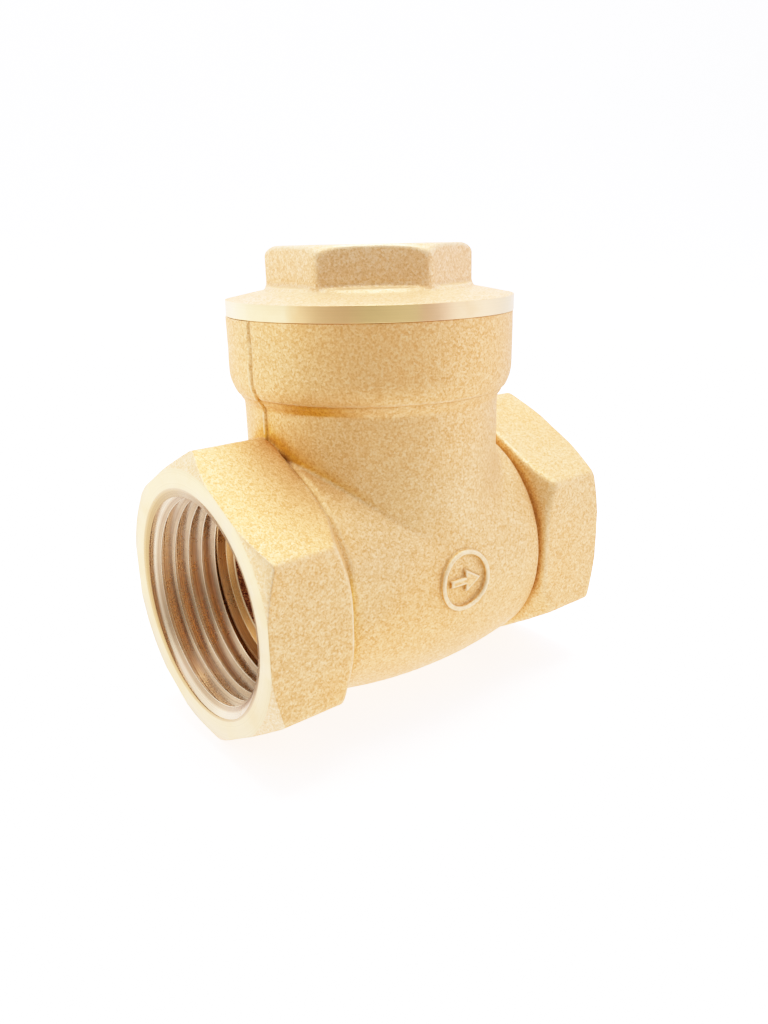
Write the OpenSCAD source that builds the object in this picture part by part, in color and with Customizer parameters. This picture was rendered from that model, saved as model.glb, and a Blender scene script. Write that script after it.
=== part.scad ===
// Swing check valve, 1 inch, forged brass, threaded ends.
// Origin: centre of the inlet end face. +X is the flow direction, +Z points up along
// the bonnet axis, +Y is the side with the hinge pin plug. Millimetres.
// Inside the modules the sizes are given about the valve centre, where the pipe axis
// and the bonnet axis cross; at_centre() moves each node to the origin above.

/* [Body] */
// Length from end face to end face
face_to_face = 65.2; // [65:0.1:67]
// Distance across the flats of the end hexagons
hex_af = 38.8; // [38.4:0.1:40]
// Distance from an end face back to the inner face of its hexagon
hex_depth = 13.3; // [12.8:0.1:13.6]
// Radius of the circle where the turned end chamfer meets the end face
end_face_r = 19.75; // [19.3:0.05:20.2]
// Largest outside radius of the belly
belly_r = 20.35; // [20:0.05:21]
// Belly wall thickness
belly_wall = 2.9; // [2.5:0.1:3.1]
// Outside radius of the neck
neck_r = 19.4; // [19:0.1:19.8]
// Outside radius of the collar at the top of the neck
collar_r = 21.2; // [21:0.1:22]
// Height of the collar's top face above the pipe axis
collar_top = 38.5; // [38:0.1:40]

/* [Ports] */
// Radius of the bore in which the pipe thread is cut (minor diameter 30.291, 11 threads per inch)
thread_minor_r = 15.146; // [15.1:0.002:15.2]
// Pipe thread root radius (major diameter 33.249), the size of the relief groove behind the thread
thread_major_r = 16.6245; // [16.6:0.0005:16.7]
// Radius of the chamfer at each mouth, on the end face
mouth_r = 16.9; // [16.7:0.05:17.2]
// Radius of the seat port
port_r = 12.9; // [12.4:0.1:13]
// Radius of the outlet bore behind the thread
outlet_r = 14.9; // [14.8:0.05:15]

/* [Bonnet] */
// Distance across the flats of the bonnet hexagon
bonnet_af = 26.8; // [26:0.1:28]
// Outside radius of the bonnet flange
flange_r = 21.3; // [21:0.1:22]
// Height of the bonnet's top face above the pipe axis
bonnet_top = 48; // [47:0.1:50]
// Angle of the first bonnet flat from the flow direction, in degrees
bonnet_turn = 233.8; // [210:0.1:270]
// Radius of the bonnet thread envelope
bonnet_thread_r = 17.67; // [17.5:0.01:17.68]

/* [Hinge and disc] */
// Distance of the hinge pin behind the valve centre
pin_back = 12.2; // [12:0.1:12.3]
// Height of the hinge pin above the pipe axis
pin_height = 18; // [17.8:0.1:18.4]
// Hinge pin radius
pin_r = 1.5; // [1.4:0.05:1.6]
// Radial running clearance of the hinge pin and of the disc stud
run_gap = 0.06; // [0.04:0.01:0.09]
// Outside radius of the disc
disc_r = 14.8; // [14.6:0.1:14.9]
// Radius of the disc stud
stud_r = 3; // [2.9:0.05:3.1]

/* [Hidden] */
$fn = 96;

brass = [0.85, 0.7, 0.42];
light_brass = [0.88, 0.74, 0.45];
steel = [0.75, 0.76, 0.78];
dark_steel = [0.7, 0.71, 0.73];
off_white = [0.9, 0.88, 0.82];
black = [0.12, 0.12, 0.12];

half = face_to_face / 2;
hex_in = half - hex_depth;
shoulder_x = 20;           // inner end of the thread relief groove
seat_x = -15.4;            // seat face
seat_back = seat_x - 1;    // upstream end of the cavity around the seat land
land_r = port_r + 1.2;     // outside of the seat land
neck_bore_r = 16.8;
gasket_z = collar_top - 0.9;
flange_z = collar_top + 0.15;
fit_gap = 0.02;            // between parts clamped together

// parts stacked along the stud
pocket_x = seat_x + 2.05;  // floor of the seal pocket in the disc
seal_x = pocket_x - fit_gap;
seal_bore_r = 5;
retainer_x = seat_x - 1.2;
lock_thick = 0.7;
lock_x = retainer_x - fit_gap - lock_thick;
screw_r = 2;
arm_x = -10.7;
arm_thick = 2.8;
washer_x = -7.85;
washer_thick = 0.8;
split_x = -2.3;            // split pin axis

module at_centre() translate([half, 0, 0]) children();

// revolve about the pipe axis: 2D points are [radius, x]
module about_x() rotate([0, 90, 0]) rotate_extrude() children();

module rod_x(radius, from, to)
    translate([from, 0, 0]) rotate([0, 90, 0]) cylinder(r = radius, h = to - from);

// rod along Y on the hinge pin axis
module pin_rod(radius, from, to)
    translate([-pin_back, to, pin_height]) rotate([90, 0, 0]) cylinder(r = radius, h = to - from);

module hex_prism(flats, height) cylinder(r = flats / sqrt(3), h = height, $fn = 6);

// ball centred on the pipe axis that passes through [radius, x]
module crown(centre, radius, x) translate([centre, 0, 0]) sphere(r = norm([radius, x - centre]));

// ---- Body ----

// belly radius along the pipe: a long arc, fullest a little downstream of the centre
function belly_at(x) = belly_r - pow(x - 3, 2) / 180;
function cavity_at(x) = belly_at(x) - belly_wall;

// one forged hexagon; its corners are crowned down to round faces at both ends
module port_hex() intersection() {
    union() {
        translate([hex_in, 0, 0]) rotate([0, 90, 0]) hex_prism(hex_af, half - hex_in);
        rod_x(16.8, 16.9, hex_in + 1);
    }
    crown(-2.74, end_face_r, half);
    crown(46.2, hex_af / 2 + 0.1, hex_in);
}

module belly() {
    start = -20.2;
    step = 2.715;
    outlet_end = [[18, 18.6], [17.5, 19.1], [17.4, 20.6], [0, 20.6]]; // [radius, x]
    about_x() polygon(concat([[0, start]],
        [for (i = [0:14]) let (x = start + i * step) [belly_at(x), x]],
        outlet_end));
}

// profile points are [radius, z]
module neck() rotate_extrude() polygon([
    [0, 0], [neck_r, 0], [neck_r, 26], [collar_r - 0.25, 29], [collar_r, 29.6],
    [collar_r, collar_top - 0.2], [collar_r - 0.2, collar_top], [0, collar_top]]);

// raised flow arrow inside a plain ring on the -Y side, following the curve of the belly
module flow_mark() {
    depth = 6;
    raised_r = belly_r + 0.42;
    arrow = [ // [x, z]
        [-2.9, -0.6], [0.2, -0.6], [0.2, -1.7], [2.9, 0],
        [0.2, 1.7], [0.2, 0.6], [-2.9, 0.6]];
    skin = [ // [radius, x]
        [16, -6], [belly_r - 0.02, -6], [belly_r + 0.4, -3], [raised_r, 2],
        [raised_r, 5], [belly_r, 7], [16, 7]];
    intersection() {
        translate([0.4, -16, 0.9]) rotate([90, 0, 0]) union() {
            difference() {
                cylinder(r = 4.6, h = depth);
                translate([0, 0, -1]) cylinder(r = 3.85, h = depth + 2);
            }
            linear_extrude(depth) polygon(arrow);
        }
        about_x() polygon(skin);
    }
}

// threaded mouth: end chamfer, the thread's bore, the relief groove, then the inner bore
module threaded_mouth(inner_r, inner_x) {
    groove_r = thread_major_r + 0.05;
    about_x() polygon([
        [0, half + 1], [mouth_r + 1, half + 1], [mouth_r, half], [thread_minor_r, half - 1.45],
        [thread_minor_r, shoulder_x + 1.75], [groove_r, shoulder_x + 1.4],
        [groove_r, shoulder_x + 0.2], [inner_r + 0.9, shoulder_x],
        [inner_r, shoulder_x - 0.8], [inner_r, inner_x], [0, inner_x]]);
}

// two flat cheeks with sloped tops that guide the arm's hub and carry the hinge pin
module hinge_cheeks() {
    inner_y = 6.8;
    width = 20;
    length = 11.5;
    top = pin_height + 6;
    for (side = [-1, 1])
        translate([-20, side * (inner_y + width / 2) + width / 2, 0]) rotate([90, 0, 0])
            linear_extrude(width) polygon([ // [x, z]
                [0, 10], [length, 10], [length, top - 3], [length - 3, top], [0, top]]);
}

// cavity inside the belly; the seat land stays standing around the port
module seat_cavity() {
    end = 17.2;
    steps = 8;
    about_x() polygon(concat(
        [[0, seat_x], [land_r - 0.2, seat_x], [land_r, seat_x - 0.2], [land_r, seat_back]],
        [for (i = [0:steps]) let (x = seat_back + i * (end - seat_back) / steps)
            [cavity_at(x), x]],
        [[0, end]]));
}

module body_cuts() {
    seat_cavity();
    // neck bore, which stops above the seat land
    difference() {
        translate([0, 0, land_r + 0.6]) cylinder(r = neck_bore_r, h = 20);
        hinge_cheeks();
    }
    // downstream of the seat it carries on down to the pipe axis
    intersection() {
        cylinder(r = neck_bore_r, h = 20);
        translate([-12, -20, 0]) cube([40, 40, 21]);
    }
    // bonnet thread bore and gasket rebate
    translate([0, 0, 29.6]) cylinder(r = bonnet_thread_r + 0.08, h = 12);
    translate([0, 0, gasket_z]) cylinder(r = 20.2, h = 3);
    // inlet and outlet
    mirror([1, 0, 0]) threaded_mouth(port_r, -seat_x - 1);
    threaded_mouth(outlet_r, 16);
    // hinge pin bore, blind on the -Y side, and the plug's threaded hole
    pin_rod(pin_r + run_gap, -12.5, 14);
    pin_rod(2.3, 10.2, 19);
}

module body() color(brass) at_centre() difference() {
    union() {
        port_hex();
        mirror([1, 0, 0]) port_hex();
        belly();
        neck();
        flow_mark();
    }
    body_cuts();
}

// ---- Bonnet ----

module bonnet() {
    flange_top = flange_z + 2.15;
    step_top = flange_top + 1.6;
    hex_z = 39;
    ball_drop = 15; // centre of the crowning ball below the top face
    top_face_r = 13.88;
    outside = [ // [radius, z]
        [0, 30.2], [bonnet_thread_r - 0.6, 30.2], [bonnet_thread_r, 30.8],
        [bonnet_thread_r, flange_z], [flange_r - 0.15, flange_z], [flange_r, flange_z + 0.15],
        [flange_r, flange_top - 0.15], [flange_r - 0.2, flange_top],
        [15.7, flange_top + 1.1], [15.15, step_top], [0, step_top]];
    hollow = [ // [radius, z], open at the underside
        [0, 29], [14.6, 29], [14.3, 31], [13.6, 36.8], [12.2, 39], [9.4, 41],
        [9, bonnet_top - 4.8], [8, bonnet_top - 4], [0, bonnet_top - 4]];
    color(light_brass) at_centre() difference() {
        union() {
            rotate_extrude() polygon(outside);
            intersection() {
                rotate([0, 0, bonnet_turn + 30]) translate([0, 0, hex_z])
                    hex_prism(bonnet_af, bonnet_top - hex_z);
                translate([0, 0, hex_z - 1]) cylinder(r = 15, h = bonnet_top - hex_z + 2);
                translate([0, 0, bonnet_top - ball_drop])
                    sphere(r = norm([top_face_r, ball_drop]));
            }
        }
        rotate_extrude() polygon(hollow);
    }
}

module bonnet_gasket() {
    gap = 0.01;
    color(off_white) at_centre() translate([0, 0, gasket_z + gap]) difference() {
        cylinder(r = 20.1, h = flange_z - gasket_z - 2 * gap);
        translate([0, 0, -1]) cylinder(r = 18, h = 4);
    }
}

// ---- Hinge ----

// plain pin with both ends bevelled
module hinge_pin() {
    plug_end = 10.05;  // reach towards +Y
    blind_end = 12.35; // reach towards -Y
    tip_r = pin_r - 0.35;
    over_r = pin_r + 0.1;
    bevel = over_r - tip_r;
    color(steel) at_centre() intersection() {
        pin_rod(pin_r, -blind_end, plug_end);
        translate([-pin_back, 0, pin_height]) rotate([90, 0, 0]) rotate_extrude()
            polygon([ // [radius, -y]
                [0, -plug_end], [tip_r, -plug_end], [over_r, bevel - plug_end],
                [over_r, blind_end - bevel], [tip_r, blind_end], [0, blind_end]]);
    }
}

// headless screw plug with a hexagon socket, sunk in the neck wall
module pin_plug() color(light_brass) at_centre() difference() {
    translate([-pin_back, 0, pin_height]) rotate([-90, 0, 0]) rotate_extrude()
        polygon([ // [radius, y]
            [0, 10.25], [1.8, 10.25], [2.22, 10.7], [2.22, 12.4], [1.9, 12.75], [0, 12.75]]);
    translate([-pin_back, 14, pin_height]) rotate([90, 0, 0])
        cylinder(r = 1.15, h = 2.6, $fn = 6);
}

// hub on the pin, flat arm with a centre rib, and the ring that carries the disc stud
module hinge_arm() {
    hub_end = 6.5;
    rib_thick = 2.4;
    plate = [ // [y, z]
        [-6.1, 0], [-5.6, 4], [-4.6, 10], [-4.6, pin_height + 0.6],
        [4.6, pin_height + 0.6], [4.6, 10], [5.6, 4], [6.1, 0]];
    rib = [ // [x, z]
        [-8.6, 5.8], [-7.1, 7.4], [-7.1, 13.5], [-8.9, pin_height + 1.6],
        [-11.5, pin_height + 2.2], [-10.2, 12]];
    color(brass) at_centre() difference() {
        union() {
            pin_rod(3, -hub_end, hub_end);
            translate([arm_x, 0, 0]) rotate([90, 0, 90]) linear_extrude(arm_thick) polygon(plate);
            rod_x(6.2, arm_x, arm_x + arm_thick);
            translate([0, rib_thick / 2, 0]) rotate([90, 0, 0])
                linear_extrude(rib_thick) polygon(rib);
        }
        rod_x(stud_r + run_gap, -12, -6);
        pin_rod(pin_r + run_gap, -8, 8);
    }
}

// ---- Disc; profile points are [radius, x] ----

// disc with a seal pocket upstream and the stud downstream
module disc() {
    pocket_r = land_r + 0.1;
    boss_end = arm_x - 0.1;
    stud_end = -0.7;
    color(brass) at_centre() difference() {
        about_x() polygon([
            [0, pocket_x], [pocket_r, pocket_x], [pocket_r, seat_x + 0.4],
            [disc_r - 0.1, seat_x + 0.4], [disc_r, seat_x + 0.5], [disc_r, seat_x + 2.4],
            [disc_r - 0.6, seat_x + 3], [9, seat_x + 3.9], [5.4, seat_x + 4.1],
            [5.2, boss_end], [stud_r, boss_end], [stud_r, stud_end - 0.5],
            [stud_r - 0.5, stud_end], [0, stud_end]]);
        // retainer screw hole
        rod_x(screw_r + 0.05, seat_x - 2, -9.6);
        // split pin hole
        translate([split_x, 0, -6]) cylinder(r = 0.85, h = 12);
    }
}

module disc_seal() {
    face_x = seat_x + 0.03;
    bevel = 0.1;
    color(black) at_centre() about_x() polygon([
        [seal_bore_r, face_x], [land_r - bevel, face_x], [land_r, face_x + bevel],
        [land_r, seal_x - bevel], [land_r - bevel, seal_x], [seal_bore_r, seal_x]]);
}

// flat ring with a spigot through the seal
module seal_retainer() {
    rim_r = 11.5;
    rim_x = seat_x + 0.01;
    bore_r = screw_r + 0.1;
    spigot_r = seal_bore_r - 0.1;
    color(light_brass) at_centre() about_x() polygon([
        [bore_r, retainer_x], [rim_r - 0.5, retainer_x], [rim_r, retainer_x + 0.5],
        [rim_r, rim_x], [spigot_r, rim_x], [spigot_r, seal_x], [bore_r, seal_x]]);
}

// slotted head upstream, shank in the disc
module retainer_screw() {
    head_x = seat_x - 4.1;
    under_head = lock_x - fit_gap;
    tip_x = -9.7;
    slot = 0.9;
    color(steel) at_centre() difference() {
        about_x() polygon([
            [0, head_x], [2.6, head_x], [3.5, head_x + 0.6], [3.7, under_head],
            [screw_r, under_head], [screw_r, tip_x - 0.5], [screw_r - 0.5, tip_x], [0, tip_x]]);
        translate([seat_x - 5, -5, -slot / 2]) cube([1.9, 10, slot]);
    }
}

// split spring washer under the retainer screw's head
module lock_washer() color(dark_steel) at_centre() difference() {
    rod_x(3.5, lock_x, lock_x + lock_thick);
    rod_x(screw_r + 0.1, seat_x - 3, seat_x);
    translate([seat_x - 3, 0, -0.3]) rotate([18, 0, 0]) cube([3, 5, 0.5]);
}

module hanger_washer() color(steel) at_centre() difference() {
    rod_x(5.9, washer_x, washer_x + washer_thick);
    rod_x(stud_r + 0.1, -9, -6);
}

// hexagon nut on the stud, corners bevelled at both ends
module hanger_nut() {
    nut_x = washer_x + washer_thick + fit_gap;
    thick = 3.7;
    nut_end = nut_x + thick;
    color(light_brass) at_centre() difference() {
        intersection() {
            translate([nut_x, 0, 0]) rotate([0, 90, 0]) hex_prism(10, thick);
            about_x() polygon([
                [0, -7.2], [5.2, -7.2], [6, -6.5], [6, -3.9], [5.2, nut_end], [0, nut_end]]);
        }
        rod_x(stud_r + 0.04, -8, -2);
    }
}

// split pin: eye above the stud, shank through it, tips bent apart sideways
module split_pin() {
    wire_r = 0.42;
    tip = 2.6;
    color(steel) at_centre() translate([split_x, 0, 0]) {
        translate([0, 0, -3.9]) cylinder(r = 0.7, h = 7.5);
        translate([0, 0, 4.4]) rotate([0, 90, 0]) rotate_extrude()
            translate([1.1, 0]) circle(r = wire_r, $fn = 32);
        for (side = [-1, 1])
            translate([0, side * 0.25, -3.7]) rotate([side * 52, 0, 0])
                translate([0, 0, -tip]) cylinder(r = wire_r, h = tip, $fn = 32);
    }
}

body();
bonnet();
bonnet_gasket();
hinge_pin();
pin_plug();
hinge_arm();
disc();
disc_seal();
seal_retainer();
lock_washer();
retainer_screw();
hanger_washer();
hanger_nut();
split_pin();
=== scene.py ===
# Brass swing check valve with G 1 ports, built at its CAD pieces' places.
# The pipe axis lies along X with the inlet at -X and the outlet at +X. The neck and its screwed
# bonnet point to +Z, and the hinge pin lies along Y. The flow mark and the camera are at -Y.
# Shapes are in mm about the valve centre; make_mesh turns them into metres.
import math

import bmesh
import bpy
import numpy as np
from mathutils import Matrix, Vector


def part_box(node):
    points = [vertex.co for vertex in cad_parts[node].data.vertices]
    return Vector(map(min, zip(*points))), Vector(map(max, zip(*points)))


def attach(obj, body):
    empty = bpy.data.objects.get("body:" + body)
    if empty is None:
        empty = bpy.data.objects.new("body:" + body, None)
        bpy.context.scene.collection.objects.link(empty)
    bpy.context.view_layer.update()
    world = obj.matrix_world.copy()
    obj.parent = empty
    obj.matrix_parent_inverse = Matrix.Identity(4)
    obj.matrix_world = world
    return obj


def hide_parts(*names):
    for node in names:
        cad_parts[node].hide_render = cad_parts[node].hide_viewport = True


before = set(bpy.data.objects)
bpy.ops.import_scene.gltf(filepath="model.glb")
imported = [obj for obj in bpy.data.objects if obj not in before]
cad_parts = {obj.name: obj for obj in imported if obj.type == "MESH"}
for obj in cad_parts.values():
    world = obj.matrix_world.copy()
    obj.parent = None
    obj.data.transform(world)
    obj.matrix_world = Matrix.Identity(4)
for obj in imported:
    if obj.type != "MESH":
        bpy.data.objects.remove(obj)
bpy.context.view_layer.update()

# ---------------------------------------------------------------- driving sizes
body_low, body_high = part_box("body")
_, bonnet_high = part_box("bonnet")
CENTRE_X = (body_low.x + body_high.x) / 2       # metres
HALF = (body_high.x - body_low.x) * 500         # half the end-to-end length, mm
COLLAR_TOP = body_high.z * 1000
CAP_TOP = bonnet_high.z * 1000
ORIGIN = (0, 0, 0)

HEX_HALF = 19.4             # half the distance across the end hexagons' flats
HEX_INNER = HALF - 13.3     # where an end hexagon starts along the pipe
SIN_60 = 0.8660254
BELLY_R, BELLY_X = 20.35, 3.0   # largest belly radius, and where it is
BELLY_WALL = 2.9
NECK_BORE = 16.8
COLLAR_R = 21.2
SEAT = -15.4                # x of the seat for the disc
PIN_X, PIN_Z = -12.2, 18.0
PIN = (PIN_X, 0, PIN_Z)
ARM_X = -9.3                # middle of the hinge arm's plate
ARM_HALF = 1.4
SPLIT_PIN_X = -2.3
MARK_X, MARK_Z, MARK_R = 0.4, 0.9, 4.3

PIPE_PITCH, PIPE_MIN, PIPE_MAX = 2.309, 15.146, 16.6245     # G 1 thread: pitch and radii
CAP_PITCH, CAP_THREAD_SPAN = 1.5, (27.0, 40.5)

THREAD_SEG = 144
BODY_SEG = 224

# horizontal direction in which the camera looks
VIEW_X, VIEW_Y = 0.631, 0.776


# ---------------------------------------------------------------- mesh helpers
def make_mesh(name, points, faces, material):
    """Mesh object from points in mm about the valve centre and rows of vertex numbers."""
    mesh = bpy.data.meshes.new(name)
    metres = np.asarray(points, float) * 0.001
    metres[:, 0] += CENTRE_X
    sizes = np.array([len(face) for face in faces])
    loops = np.concatenate(faces)
    starts = np.concatenate([[0], np.cumsum(sizes)[:-1]])
    mesh.vertices.add(len(metres))
    mesh.vertices.foreach_set("co", metres.astype(np.float32).ravel())
    mesh.loops.add(len(loops))
    mesh.loops.foreach_set("vertex_index", loops.astype(np.int32))
    mesh.polygons.add(len(starts))
    mesh.polygons.foreach_set("loop_start", starts.astype(np.int32))
    mesh.update(calc_edges=True)
    mesh.validate(verbose=False)
    piece = bpy.data.objects.new(name, mesh)
    bpy.context.scene.collection.objects.link(piece)
    mesh.materials.append(material)
    return piece


def vertex_coords(mesh):
    flat = np.empty(len(mesh.vertices) * 3, np.float32)
    mesh.vertices.foreach_get("co", flat)
    return flat.reshape(-1, 3)


def rounded(outline, steps=5):
    """Round the corners of a closed 2D outline: a point may carry a third number, its radius."""
    result = []
    for i, point in enumerate(outline):
        radius = point[2] if len(point) > 2 else 0
        if not radius:
            result.append(point[:2])
            continue
        corner = np.array(point[:2], float)
        sides = [np.array(outline[j][:2], float) - corner for j in (i - 1, (i + 1) % len(outline))]
        lengths = [np.linalg.norm(side) for side in sides]
        before, after = sides[0] / lengths[0], sides[1] / lengths[1]
        angle = math.acos(max(-1, min(1, float(before @ after))))
        if angle > math.pi - 0.02:
            result.append(point[:2])
            continue
        setback = min(radius / math.tan(angle / 2), 0.49 * lengths[0], 0.49 * lengths[1])
        radius = setback * math.tan(angle / 2)
        middle = before + after
        centre = corner + middle / np.linalg.norm(middle) * radius / math.sin(angle / 2)
        start = math.atan2(*(corner + before * setback - centre)[::-1])
        end = math.atan2(*(corner + after * setback - centre)[::-1])
        sweep = (end - start + math.pi) % (2 * math.pi) - math.pi
        for k in range(steps + 1):
            turn = start + sweep * k / steps
            result.append((centre[0] + radius * math.cos(turn), centre[1] + radius * math.sin(turn)))
    return result


def anticlockwise(outline):
    """The rounded outline as an array that runs anticlockwise."""
    points = np.array(rounded(outline), float)
    following = np.roll(points, -1, axis=0)
    if np.sum(points[:, 0] * following[:, 1] - following[:, 0] * points[:, 1]) < 0:
        return points[::-1]
    return points


AXIS_FRAMES = {
    "x": np.array([[0, 1, 0], [0, 0, 1], [1, 0, 0]], float),
    "y": np.array([[0, 0, 1], [1, 0, 0], [0, 1, 0]], float),
    "z": np.eye(3),
}


def placed(points, axis, at=ORIGIN):
    """Points given as (across, across, along axis) in the valve's frame, right-handed."""
    return np.asarray(points, float) @ AXIS_FRAMES[axis] + np.array(at, float)


def lathe(name, profile, axis, material, seg, at=ORIGIN):
    """Closed solid of revolution.

    Profile points are (radius, place along the axis[, corner radius]).
    """
    outline = anticlockwise(profile)
    distinct = [i for i in range(len(outline)) if np.linalg.norm(outline[i] - outline[i - 1]) > 1e-6]
    outline = outline[distinct]
    angles = np.arange(seg) * 2 * math.pi / seg
    points, rings = [], []
    for radius, along in outline:
        if radius < 1e-6:
            rings.append([len(points)] * seg)
            points.append((0, 0, along))
        else:
            rings.append(list(range(len(points), len(points) + seg)))
            points += [(radius * cosine, radius * sine, along)
                       for cosine, sine in zip(np.cos(angles), np.sin(angles))]
    faces = []
    for i, ring in enumerate(rings):
        above = rings[(i + 1) % len(rings)]
        if ring[0] == ring[-1] and above[0] == above[-1]:
            continue
        for j in range(seg):
            k = (j + 1) % seg
            face = [ring[j], ring[k], above[k], above[j]]
            face = [vertex for q, vertex in enumerate(face) if vertex != face[q - 1]]
            if len(face) > 2:
                faces.append(tuple(face))
    return make_mesh(name, placed(points, axis, at), faces, material)


def cylinder(name, radius, low, high, axis, material, seg, at=ORIGIN):
    profile = [(0, low), (radius, low), (radius, high), (0, high)]
    return lathe(name, profile, axis, material, seg, at)


def prism(name, outline, axis, low, high, material, at=ORIGIN):
    """Straight prism along axis; its outline is (y, z) for x, (z, x) for y, (x, y) for z."""
    flat = anticlockwise(outline)
    count = len(flat)
    points = np.vstack([np.c_[flat, np.full(count, low)], np.c_[flat, np.full(count, high)]])
    faces = [tuple(range(count - 1, -1, -1)), tuple(range(count, 2 * count))]
    for i in range(count):
        k = (i + 1) % count
        faces.append((i, k, count + k, count + i))
    return make_mesh(name, placed(points, axis, at), faces, material)


def hexagon(across_flats, turn=0.0):
    radius = across_flats / math.sqrt(3)
    angles = [turn + k * math.pi / 3 for k in range(6)]
    return [(radius * math.cos(angle), radius * math.sin(angle)) for angle in angles]


def thread_rod(name, rows, pitch, span, axis, material, seg, at=ORIGIN, phase=0.0):
    """Closed right-hand threaded rod whose mesh lines follow the helix.

    rows is one pitch of (share of the pitch, radius).
    """
    per_turn = len(rows)
    total = (int(math.ceil((span[1] - span[0]) / pitch)) + 1) * per_turn
    along = np.array([(i // per_turn + rows[i % per_turn][0]) * pitch for i in range(total + 1)])
    radii = np.array([rows[i % per_turn][1] for i in range(total + 1)])
    angles = np.arange(seg) * 2 * math.pi / seg
    start = span[0] + phase
    grid = np.zeros((total + 1, seg, 3))
    grid[:, :, 0] = radii[:, None] * np.cos(angles)[None]
    grid[:, :, 1] = radii[:, None] * np.sin(angles)[None]
    grid[:, :, 2] = start + along[:, None] + pitch * angles[None] / (2 * math.pi)
    ids = np.arange((total + 1) * seg).reshape(total + 1, seg)
    faces = []
    for j in range(seg - 1):
        for i in range(total):
            faces.append((ids[i, j], ids[i, j + 1], ids[i + 1, j + 1], ids[i + 1, j]))
    # the seam: column 0 is one pitch lower than the column after the last
    for i in range(total - per_turn):
        k = i + per_turn
        faces.append((ids[i, -1], ids[k, 0], ids[k + 1, 0], ids[i + 1, -1]))
    # each end closes as a fan round a point on the axis
    tip = ids.size
    tips = [[0, 0, start - 0.2], [0, 0, start + along[-1] + pitch + 0.2]]
    bottom = np.concatenate([ids[0], ids[per_turn:0:-1, 0]])
    faces += [(after, here, tip) for here, after in zip(bottom, np.roll(bottom, -1))]
    top = np.concatenate([ids[total, :-1], ids[total:total - per_turn - 1:-1, -1]])
    faces += [(here, after, tip + 1) for here, after in zip(top, np.roll(top, -1))]
    points = np.vstack([grid.reshape(-1, 3), tips])
    return make_mesh(name, placed(points, axis, at), faces, material)


# half a pitch of each thread form: (share of the pitch, share of the depth)
WHITWORTH_HALF = [(0.0, 0.0), (0.075, 0.03), (0.125, 0.11), (0.375, 0.89), (0.425, 0.97)]
PIPE_HALF = [(0.0, 0.0), (0.02, 0.0), (0.045, 0.04), (0.44, 0.95), (0.47, 1.0)]


def whitworth(low, high):
    """One pitch of a rounded thread form between two radii."""
    depth = high - low
    rows = [(share, low + depth * rise) for share, rise in WHITWORTH_HALF]
    return rows + [(0.5 + share, high - depth * rise) for share, rise in WHITWORTH_HALF]


def pipe_form():
    """One pitch of the pipe thread: straight flanks, narrow crests and roots."""
    depth = PIPE_MAX - PIPE_MIN
    rows = [(share, PIPE_MIN + depth * rise) for share, rise in PIPE_HALF]
    mirrored = [(1 - share, radius) for share, radius in rows[1:]]
    return sorted(rows + mirrored + [(0.5, PIPE_MAX)])


def boolean(target, tool, operation):
    """Apply one boolean to target and remove the tool."""
    modifier = target.modifiers.new("cut", "BOOLEAN")
    modifier.solver = "MANIFOLD"
    modifier.operation = operation
    modifier.object = tool
    modifier.material_mode = "TRANSFER"
    bpy.context.view_layer.update()
    graph = bpy.context.evaluated_depsgraph_get()
    mesh = bpy.data.meshes.new_from_object(target.evaluated_get(graph))
    if len(mesh.polygons) == 0:
        raise RuntimeError(f"boolean {operation} of {target.name} with {tool.name} is empty")
    old = target.data
    target.modifiers.clear()
    target.data = mesh
    mesh.name = old.name
    bpy.data.meshes.remove(old)
    tool_mesh = tool.data
    bpy.data.objects.remove(tool)
    bpy.data.meshes.remove(tool_mesh)
    return target


def cut(target, tool):
    return boolean(target, tool, "DIFFERENCE")


def join(target, tool):
    return boolean(target, tool, "UNION")


def clip(target, tool):
    return boolean(target, tool, "INTERSECT")


def finish(piece, body, node, angle):
    piece.data.shade_smooth()
    piece.data.set_sharp_from_angle(angle=math.radians(angle))
    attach(piece, body)
    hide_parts(node)


# ---------------------------------------------------------------- distance fields, below 0 inside
def length(first, second):
    return np.sqrt(first * first + second * second)


def soft_min(first, second, blend):
    share = np.clip(0.5 + 0.5 * (second - first) / blend, 0, 1)
    return second + (first - second) * share - blend * share * (1 - share)


def soft_max(first, second, blend):
    return -soft_min(-first, -second, blend)


def soft_step(height, place):
    """Rises from 0 to height as place goes from below 0 to above it."""
    return height / (1 + np.exp(-np.clip(place, -30, 30)))


def value_noise(x, y, z, cell, seed):
    """Smooth value noise in -1..1."""
    def corner_value(i, j, k):
        mixed = (i * 374761393 + j * 668265263 + k * 2147483647 + seed * 1274126177) & 0xFFFFFFFF
        mixed = ((mixed ^ (mixed >> 13)) * 1274126177) & 0xFFFFFFFF
        return ((mixed ^ (mixed >> 16)) & 0xFFFF) / 32767.5 - 1.0

    scaled = [x / cell, y / cell, z / cell]
    floors = [np.floor(value).astype(np.int64) for value in scaled]
    eased = []
    for value, floor in zip(scaled, floors):
        share = value - floor
        eased.append(share * share * (3 - 2 * share))
    total = 0.0
    for corner in np.ndindex(2, 2, 2):
        weight = 1.0
        for bit, share in zip(corner, eased):
            weight = weight * (share if bit else 1 - share)
        total = total + weight * corner_value(*(f + bit for f, bit in zip(floors, corner)))
    return total


def roughen(field, x, y, z, layers):
    """Add layers of (height, cell size, seed) noise to a field."""
    for height, cell, seed in layers:
        field = field + height * value_noise(x, y, z, cell, seed)
    return field


def gradient_pairs(field, points, reach):
    """The field on both sides of each point, along x, y and z."""
    for step in np.eye(3) * reach:
        yield field(*(points + step).T), field(*(points - step).T)


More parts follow.
